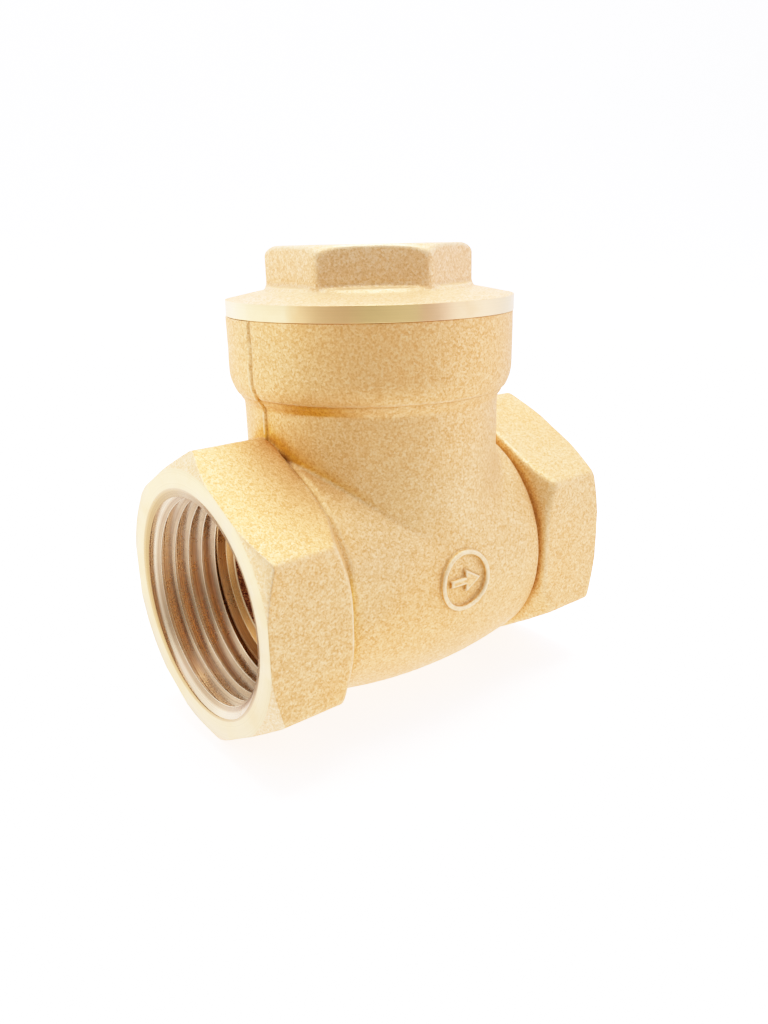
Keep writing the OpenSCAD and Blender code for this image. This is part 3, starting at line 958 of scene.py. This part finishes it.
def neck_thread(name, radii, material=CAP_THREAD_BRASS):
    return thread_rod(name, whitworth(*radii), CAP_PITCH, CAP_THREAD_SPAN, "z", material,
                      THREAD_SEG)


def add_bonnet_seat(void):
    """Bonnet thread, its lead-in and the gasket seat."""
    tap = neck_thread("bonnet_tap", (17.25, 18.05))
    clip(tap, cylinder("bonnet_tap_trim", 18.3, 30.1, 38.0, "z", CAP_THREAD_BRASS, 96))
    join(void, tap)
    profile = [(0, 29.6), (18.2, 29.6, 0.2), (18.2, 30.4, 0.2), (17.1, 30.9), (17.1, 36.9),
               (18.15, 37.6), (20.2, 37.6, 0.15), (20.2, 38.3), (20.45, 38.7), (20.45, 41),
               (0, 41)]
    join(void, lathe("gasket_seat", profile, "z", RIM_BRASS, BODY_SEG))


def add_pin_holes(void):
    """Bore of the hinge pin and, at +Y, of its plug."""
    pin = [(0, -12.5), (1.4, -12.5), (1.56, -12.3), (1.56, 14), (0, 14)]
    join(void, lathe("pin_bore", pin, "y", PORT_BRASS, 48, PIN))
    plug = [(0, 10.2), (1.9, 10.2), (2.3, 10.6), (2.3, 14.6), (2.9, 15.2), (2.9, 22), (0, 22)]
    join(void, lathe("plug_bore", plug, "y", PORT_BRASS, 64, PIN))


def build_body():
    skin = outer_skin()
    void = cavity_tool()
    join(void, port_tool("inlet_port", side=-1, bore_r=12.9, bore_end=15.0))
    join(void, port_tool("outlet_port", side=1, bore_r=14.9, bore_end=16.0))
    join(void, pipe_thread("inlet_tap", side=-1))
    join(void, pipe_thread("outlet_tap", side=1))
    add_bonnet_seat(void)
    add_pin_holes(void)
    cut(skin, void)
    # the collar's field paints a shadow under the collar
    mark_edges(skin, skin_field, stain_and_shade=collar_painted_shadow)
    finish(skin, "casing", "body", 34)


# ---------------------------------------------------------------- bonnet
CAP_NOISE = [(0.03, 5.0, 11), (0.018, 1.6, 13), (0.01, 0.8, 17)]
CAP_TURN = math.radians(233.8)      # direction in which one flat of the hexagon faces
CAP_HEX_HALF = 13.42


def bonnet_field(x, y, z):
    """Hexagon head over a low cone and a round foot."""
    radius = length(x, y)
    turns = [CAP_TURN + k * math.pi / 3 for k in range(3)]
    flats = [np.abs(x * math.cos(turn) + y * math.sin(turn)) for turn in turns]
    head = soft_max(soft_max(flats[0], flats[1], 0.4), flats[2], 0.4) - CAP_HEX_HALF
    head = soft_max(head, radius - 15.3, 0.3)
    head = soft_max(head, z - CAP_TOP, 0.45)
    head = soft_max(head, 0.6 * (radius - 15.2) + 0.8 * (z - 47.1), 0.5)
    cone = 0.1978 * (radius - 21.3) + 0.9802 * (z - 40.72)
    foot = soft_max(radius - 15.15, z - 42.3, 0.5)
    base = soft_min(np.maximum(cone, radius - 22.6), foot, 0.7)
    field = np.maximum(soft_min(base, head, 0.55), 37.6 - z)
    return roughen(field, x, y, z, CAP_NOISE)


def build_bonnet():
    cap = surface_nets("bonnet_cap", bonnet_field, (-23.2, -23.2, 36.9),
                       (23.2, 23.2, CAP_TOP + 0.9), 0.27, CAP_BRASS)
    rim = [(0, 38.65), (20.2, 38.62), (21.32, 38.5, 0.08), (21.32, 40.74, 0.1), (20.6, 40.98),
           (20.6, 60), (0, 60)]
    clip(cap, lathe("rim_turning", rim, "z", RIM_BRASS, BODY_SEG))
    rod = neck_thread("bonnet_thread", (17.08, 17.95))
    envelope = [(0, 30.2), (17.1, 30.2, 0.2), (18.2, 31.2), (18.2, 37.6), (17.1, 38.2, 0.2),
                (17.1, 38.9), (0, 38.9)]
    clip(rod, lathe("bonnet_thread_trim", envelope, "z", RIM_BRASS, BODY_SEG))
    join(cap, rod)
    hollow = [(0, 29), (14.9, 29), (14.6, 30.2, 0.4), (14.3, 31, 0.5), (13.6, 36.8, 0.8),
              (12.2, 39, 1.0), (9.4, 41, 0.8), (9, 43.2, 0.5), (8, 44, 0.8), (0, 44.0)]
    cut(cap, lathe("bonnet_hollow", hollow, "z", SHADED_CAVITY_BRASS, BODY_SEG))
    mark_edges(cap, bonnet_field, shade=0.35)
    finish(cap, "cap", "bonnet", 34)


def build_gasket():
    profile = [(18.0, 37.61, 0.18), (20.1, 37.61, 0.18), (20.12, 38.12, 0.1),
               (20.1, 38.64, 0.18), (18.0, 38.64, 0.18), (17.97, 38.1, 0.1)]
    ring = lathe("sealing_ring", profile, "z", PTFE, 192)
    finish(ring, "gasket_ring", "bonnet_gasket", 50)


# ---------------------------------------------------------------- hinge
def build_pin():
    profile = [(0, -12.35), (1.15, -12.35, 0.12), (1.5, -12.0, 0.15), (1.5, 9.7, 0.15),
               (1.15, 10.05, 0.12), (0, 10.05)]
    pin = lathe("hinge_pin_rod", profile, "y", STEEL_Y, 72, PIN)
    # lathe centre on the -Y end
    centre = [(0, -13), (0.55, -13), (0.55, -12.3), (0, -11.8)]
    cut(pin, lathe("centre_drill", centre, "y", STEEL_Y, 32, PIN))
    finish(pin, "pivot", "hinge_pin", 30)


def build_plug():
    """Headless screw with a hexagon socket, at the +Y end of the hinge pin."""
    plug = thread_rod("pin_plug_screw", whitworth(1.93, 2.24), 0.8, (8.0, 15.0), "y",
                      PLUG_BRASS, 64, PIN)
    envelope = [(0, 10.25), (1.7, 10.25), (2.4, 10.9), (2.4, 12.3), (1.95, 12.75), (0, 12.75)]
    clip(plug, lathe("plug_trim", envelope, "y", PLUG_BRASS, 64, PIN))
    cut(plug, prism("socket", hexagon(2.0), "y", 11.45, 13.5, PLUG_BRASS, PIN))
    mouth = [(0, 11.1), (1.0, 11.45), (1.0, 12.55), (1.35, 12.9), (0, 12.9)]
    cut(plug, lathe("socket_mouth", mouth, "y", PLUG_BRASS, 48, PIN))
    finish(plug, "casing", "pin_plug", 30)


def arm_field(x, y, z):
    """Hub round the pin, a plate down to a ring round the stud, and a centre rib."""
    hub = soft_max(length(x - PIN_X, z - PIN_Z) - 3.0, np.abs(y) - 6.5, 0.35)
    half_width = np.interp(z, [-7, 0, 4, 10, 18.6], [6.1, 6.1, 5.6, 4.6, 4.6])
    slab = np.abs(x - ARM_X) - ARM_HALF
    plate = soft_max(slab, np.abs(y) - half_width, 0.5)
    plate = soft_max(plate, np.maximum(-z, z - 18.6), 0.5)
    ring = soft_max(length(y, z) - 6.2, slab, 0.5)
    field = soft_min(plate, ring, 0.5)
    # x of the rib's outlet side, falling from the hub to the ring
    rib_x = np.interp(z, [5.2, 7.4, 13.5, 17.5, 19.6, 20.4],
                      [-8.4, -7.2, -7.2, -8.3, -9.2, -11.5])
    rib = soft_max(np.abs(y) - 1.2, x - rib_x, 0.4)
    rib = np.maximum(np.maximum(rib, -10.9 - x), np.maximum(5.2 - z, z - 20.0))
    field = soft_min(field, rib, 0.7)
    field = soft_min(field, hub, 0.8)
    return roughen(field, x, y, z, [(0.02, 2.4, 21), (0.01, 0.9, 22)])


def build_arm():
    arm = surface_nets("hinge_arm_forged", arm_field, (-16, -7.4, -7.2), (-6.2, 7.4, 22),
                       0.22, ARM_BRASS)
    stud = [(0, -12.2), (3.5, -12.2), (3.5, -10.95), (3.06, -10.5), (3.06, -8.1),
            (3.5, -7.65), (3.5, -6), (0, -6)]
    tool = lathe("stud_hole", stud, "x", PORT_BRASS, 72)
    pin = [(0, -8), (1.9, -8), (1.9, -6.7), (1.56, -6.3), (1.56, 6.3), (1.9, 6.7), (1.9, 8),
           (0, 8)]
    join(tool, lathe("pin_hole", pin, "y", PORT_BRASS, 48, PIN))
    cut(arm, tool)
    # machined faces of the ring where the disc and the washer bear
    for radius, low, high in ((5.9, -14, -10.7), (6.0, -7.9, -6.9)):
        cut(arm, cylinder("spot_face", radius, low, high, "x", PORT_BRASS, 96))
    mark_edges(arm, arm_field)
    finish(arm, "arm", "hinge_arm", 34)


# ---------------------------------------------------------------- disc group, all on the pipe axis
def build_disc():
    """Disc with a recess for the seal at -X and a threaded stud at +X."""
    profile = [
        (0, -13.35), (14.2, -13.35, 0.1), (14.2, -15.0, 0.05), (14.72, -15.0, 0.08),
        (14.8, -14.9, 0.05), (14.8, -13.0, 0.35), (14.2, -12.4, 0.5), (11.4, -12.0, 0.4),
        (11.2, -12.3, 0.25), (9.4, -12.3, 0.25), (9.0, -11.5, 0.5), (5.6, -11.3, 0.4),
        (5.3, -10.8, 0.15), (3.0, -10.8, 0.2), (3.0, -6.9), (2.4, -6.5), (2.4, -3), (0, -3)]
    disc = lathe("flapper_disc", profile, "x", DISC_BRASS, 208)
    rod = thread_rod("stud_thread", whitworth(2.55, 2.98), 1.0, (-9.5, 1.5), "x", DISC_BRASS, 72)
    envelope = [(0, -7.3), (3.2, -7.3), (3.2, -1.25), (2.45, -0.7), (0, -0.7)]
    clip(rod, lathe("stud_trim", envelope, "x", DISC_BRASS, 72))
    join(disc, rod)
    screw = [(0, -18), (2.05, -18), (2.05, -9.9), (0, -9.3)]
    hole = lathe("screw_hole", screw, "x", DISC_BRASS, 48)
    join(hole, cylinder("split_pin_hole", 0.85, -6, 6, "z", DISC_BRASS, 32, (SPLIT_PIN_X, 0, 0)))
    cut(disc, hole)
    finish(disc, "flapper", "disc", 30)


def build_seal():
    profile = [(5.0, -15.37, 0.1), (14.0, -15.37, 0.12), (14.1, -15.27, 0.1),
               (14.1, -13.37, 0.1), (5.0, -13.37, 0.1)]
    seal = lathe("rubber_seal", profile, "x", RUBBER, 208)
    finish(seal, "flapper", "disc_seal", 40)


def build_retainer():
    profile = [(2.1, -16.6, 0.08), (10.9, -16.6, 0.25), (11.5, -16.05, 0.25),
               (11.5, -15.39, 0.05), (4.9, -15.39, 0.08), (4.9, -13.37, 0.1), (2.1, -13.37, 0.1)]
    plate = lathe("seal_plate", profile, "x", DISC_BRASS, 208)
    finish(plate, "flapper", "seal_retainer", 34)


def build_spring_washer():
    """Split spring washer: a square wire, one turn, with its ends cut on the slant."""
    steps, end_gap, first_turn = 96, math.radians(8), math.radians(24)
    slant, middle, rise = 0.11, 16.97, 0.03
    section = np.array(rounded([(2.15, -17.28, 0.12), (3.5, -17.28, 0.12),
                                (3.5, -16.66, 0.12), (2.15, -16.66, 0.12)], 3))
    count = len(section)
    points = []
    for i in range(steps + 1):
        share = i / steps
        for radius, along in section:
            lead = slant * (along + middle)
            angle = first_turn + end_gap + (math.radians(360) - 2 * end_gap) * share + lead
            points.append((radius * math.cos(angle), radius * math.sin(angle),
                           along + rise * (share - 0.5)))
    faces = []
    for i in range(0, steps * count, count):
        for j in range(count):
            k = (j + 1) % count
            faces.append((i + j, i + k, i + count + k, i + count + j))
    faces.append(tuple(range(count - 1, -1, -1)))
    faces.append(tuple(steps * count + j for j in range(count)))
    washer = make_mesh("spring_washer", placed(points, "x"), faces, STEEL_X)
    shell = bmesh.new()
    shell.from_mesh(washer.data)
    bmesh.ops.recalc_face_normals(shell, faces=shell.faces)
    shell.to_mesh(washer.data)
    shell.free()
    finish(washer, "flapper", "lock_washer", 34)


def build_screw():
    profile = [
        (0, -19.5), (1.6, -19.46), (2.6, -19.3, 0.3), (3.45, -18.75, 0.3), (3.7, -18.1, 0.3),
        (3.7, -17.34, 0.12), (2.0, -17.34, 0.15), (2.0, -10.2, 0.1), (1.5, -9.7, 0.1), (0, -9.7)]
    screw = lathe("slotted_screw", profile, "x", STEEL_X, 96)
    slot = [(-6, -0.42), (6, -0.42), (6, 0.42), (-6, 0.42)]
    cut(screw, prism("slot", slot, "x", -21, -18.5, STEEL_X))
    finish(screw, "flapper", "retainer_screw", 30)


def build_washer():
    profile = [(3.1, -7.85, 0.08), (5.9, -7.85, 0.2), (5.9, -7.05, 0.1), (3.1, -7.05, 0.15)]
    washer = lathe("plain_washer", profile, "x", STEEL_X, 96)
    finish(washer, "flapper", "hanger_washer", 34)


def build_nut():
    low, high = -7.03, -3.33
    nut = prism("hex_nut", hexagon(10.0, math.radians(30)), "x", low, high, NUT_BRASS)
    chamfer = [(0, low), (4.75, low), (5.9, -6.42), (5.9, -3.94), (4.75, high), (0, high)]
    clip(nut, lathe("nut_chamfer", chamfer, "x", NUT_BRASS, 128))
    tap = thread_rod("nut_tap", whitworth(2.66, 3.06), 1.0, (-10.5, 1.5), "x", NUT_BRASS, 72)
    clip(tap, cylinder("nut_tap_trim", 3.4, -8, -2.5, "x", NUT_BRASS, 48))
    lead_in = [(0, -8), (3.5, -8), (3.25, -6.95), (2.6, -6.4), (2.6, -3.9), (3.25, -3.4),
               (3.5, -2.5), (0, -2.5)]
    join(tap, lathe("nut_lead", lead_in, "x", NUT_BRASS, 72))
    cut(nut, tap)
    finish(nut, "flapper", "hanger_nut", 30)


def split_pin_field(x, y, z):
    """Split shank along Z, a loop above the stud and two spread legs below it."""
    pin_x = x - SPLIT_PIN_X
    shank = np.maximum(length(pin_x, y) - 0.7, np.abs(z + 0.15) - 3.55)
    shank = soft_max(shank, 0.045 - np.abs(y), 0.06)
    loop = length(y, (z - 4.4) * 0.92) - 1.1
    field = soft_min(shank, length(loop, pin_x) - 0.42, 0.25)
    for side in (-1, 1):
        angle = math.radians(52) * side
        leg_y, leg_z = y - side * 0.25, z + 3.62
        along_y, along_z = math.sin(angle), -math.cos(angle)
        reach = np.clip(leg_y * along_y + leg_z * along_z, 0, 2.45)
        leg = np.sqrt(pin_x * pin_x + (leg_y - along_y * reach) ** 2
                      + (leg_z - along_z * reach) ** 2) - 0.41
        field = soft_min(field, leg, 0.2)
    return field


def build_split_pin():
    pin = surface_nets("cotter", split_pin_field, (-3.4, -2.9, -6.0), (-1.2, 2.9, 6.4),
                       0.1, STEEL_X)
    finish(pin, "flapper", "split_pin", 40)


for build in (build_body, build_bonnet, build_gasket, build_pin, build_plug, build_arm,
              build_disc, build_seal, build_retainer, build_spring_washer, build_screw,
              build_washer, build_nut, build_split_pin):
    build()


# ---------------------------------------------------------------- floor, light and camera, in metres
# light tent round the valve: degrees (0 towards the camera, positive to its right), then
# brightness or tint
TENT = [
    (-180, 1.9), (-110, 1.9), (-62, 1.95), (-50, 0.95), (-40, 0.55), (0, 0.45), (16, 0.58),
    (34, 0.64), (42, 0.45), (54, 0.5), (64, 1.5), (95, 1.65), (118, 1.2), (135, 1.1),
    (160, 1.6), (180, 1.9)]
TENT_TINT = [(-150, (1, 1, 1.16)), (-110, (1, 1, 1)), (30, (1, 1, 1)), (70, (1, 1.02, 1.28)),
             (150, (1, 1.02, 1.26))]


def tent_light(graph, vector):
    """Brightness and tint of the tent in a direction."""
    rightward = graph.dot(vector, (VIEW_Y, -VIEW_X, 0.0))
    to_camera = graph.dot(vector, (-VIEW_X, -VIEW_Y, 0.0))
    turn = graph.turn(rightward, to_camera)
    # the ramp holds half the brightness, doubled after it
    grey = graph.ramp(turn, [((angle + 180) / 360, (level / 2,) * 3) for angle, level in TENT])
    tint = graph.ramp(turn, [((angle + 180) / 360, colour) for angle, colour in TENT_TINT])
    return graph.math("MULTIPLY", grey, 2.0), tint


def floor_material(floor_z):
    """White to the camera; to other rays a lit table, bright under the valve."""
    material, graph, surface, output = new_material("floor_white")
    place = graph.position()
    cloud = graph.noise(place, scale=14, rough=0.5)
    graph.fill(surface, {
        "Base Color": graph.ramp(cloud, [(0.3, (0.90, 0.90, 0.90)), (0.7, (0.93, 0.93, 0.93))]),
        "Roughness": 0.9,
        "Specular IOR Level": 0.1,
        "Emission Color": (1, 1, 1, 1),
        "Emission Strength": 0.9})
    flat = graph.add("VectorMath", place, (CENTRE_X, 0.0, floor_z), operation="SUBTRACT").outputs[0]
    distance = graph.add("VectorMath", flat, operation="LENGTH").outputs["Value"]
    reach = graph.remap(distance, (0.035, 0.15), (0.0, 1.0))
    level, tint = tent_light(graph, flat)
    strength = graph.mix_value(reach, 1.5, level)
    glow = graph.add("Emission", Color=graph.mix(reach, (1.0, 1.0, 1.1), tint),
                     Strength=strength)
    camera_ray = graph.add("LightPath").outputs["Is Camera Ray"]
    shader = graph.add("MixShader", camera_ray, glow.outputs[0], surface.outputs[0])
    graph.fill(output, {0: shader.outputs[0]})
    return material


def build_stage():
    """Floor that sweeps up behind the valve, seen from the camera's side."""
    floor_z = body_low.z - 0.00005
    front, bend_start, bend_r, wall_top, half_width = 1.6, 0.55, 0.35, 1.9, 2.2
    profile = [(-front, 0.0), (bend_start, 0.0)]
    for k in range(1, 13):
        angle = math.pi / 2 * k / 12
        profile.append((bend_start + bend_r * math.sin(angle), bend_r * (1 - math.cos(angle))))
    profile.append((0.90, wall_top))
    away = Vector((0.600, 0.738, 0)).normalized()
    sideways = Vector((away.y, -away.x, 0))
    points = []
    for depth, height in profile:
        for width in (-half_width, half_width):
            point = Vector((CENTRE_X, 0, 0)) + away * depth + sideways * width
            points.append((point.x, point.y, floor_z + height))
    faces = [(2 * i, 2 * i + 1, 2 * i + 3, 2 * i + 2) for i in range(len(profile) - 1)]
    mesh = bpy.data.meshes.new("floor")
    mesh.from_pydata(points, [], faces)
    mesh.update()
    mesh.shade_smooth()
    floor = bpy.data.objects.new("floor", mesh)
    bpy.context.scene.collection.objects.link(floor)
    mesh.materials.append(floor_material(floor_z))


def area_light(name, place, size, power):
    """Square lamp aimed at the valve."""
    data = bpy.data.lights.new(name, "AREA")
    data.energy = power
    data.shape = "RECTANGLE"
    data.size = size
    data.size_y = size
    lamp = bpy.data.objects.new(name, data)
    bpy.context.scene.collection.objects.link(lamp)
    lamp.location = place
    aim = Vector((CENTRE_X, 0, 0.01)) - Vector(place)
    lamp.rotation_euler = aim.to_track_quat("-Z", "Y").to_euler()


def build_world():
    """The rest of the tent: bright above and behind; pure white where the camera sees it."""
    world = bpy.data.worlds.new("studio")
    bpy.context.scene.world = world
    world.use_nodes = True
    graph = Graph(world.node_tree)
    direction = graph.add("TexCoord").outputs["Generated"]
    height = graph.add("SeparateXYZ", direction).outputs[2]
    high = graph.remap(height, (0.2, 0.9), (0.0, 1.0))
    rear = graph.dot(direction, (VIEW_X, VIEW_Y, 0.0))
    side, tint = tent_light(graph, direction)
    left = graph.dot(direction, (-VIEW_Y, VIEW_X, 0.0))
    level = graph.mix_value(high, side, graph.remap(rear, (-0.35, 0.25), (0.7, 2.1)))
    level = graph.math("MULTIPLY", level, graph.remap(left, (0.0, 0.7), (1.0, 0.7)))
    camera_ray = graph.add("LightPath").outputs["Is Camera Ray"]
    graph.fill(world.node_tree.nodes["Background"], {
        "Color": graph.mix(high, tint, (1.0, 1.01, 1.12)),
        "Strength": graph.mix_value(camera_ray, level, 3.0)})


def set_camera_response():
    """Soft shoulder: bright metal rolls off towards white instead of clipping."""
    white = 3.0
    view = bpy.context.scene.view_settings
    view.view_transform = "Standard"
    view.exposure = 0.0
    view.use_curve_mapping = True
    mapping = view.curve_mapping
    mapping.extend = "HORIZONTAL"
    mapping.white_level = (white, white, white)
    combined = mapping.curves[3]
    for light in (0.06, 0.15, 0.3, 0.5, 0.75, 1.05, 1.4, 1.75, 2.05, 2.5):
        combined.points.new(light / white, min(1.0, 1.04 * (1 - math.exp(-1.6 * light))))
    mapping.update()


def build_camera():
    data = bpy.data.cameras.new("camera")
    camera = bpy.data.objects.new("camera", data)
    bpy.context.scene.collection.objects.link(camera)
    data.sensor_width = 36.0
    data.sensor_fit = "AUTO"
    data.lens = 29.165
    data.clip_start = 0.01
    data.clip_end = 20
    right = (0.77136435, -0.63606783, -0.02036553)
    above = (0.21196536, 0.22661456, 0.95064006)
    behind = (-0.60005644, -0.73760664, 0.30962674)
    matrix = Matrix((right, above, behind)).transposed().to_4x4()
    matrix.translation = (CENTRE_X - 0.0794938, -0.0999950, 0.0482209)
    camera.matrix_world = matrix
    bpy.context.scene.camera = camera


build_stage()
area_light("key_left", (-0.50, 0.10, 0.45), size=0.35, power=0.5)
area_light("overhead", (0.08, 0.02, 0.62), size=0.34, power=2.9)
build_world()
set_camera_response()
build_camera()
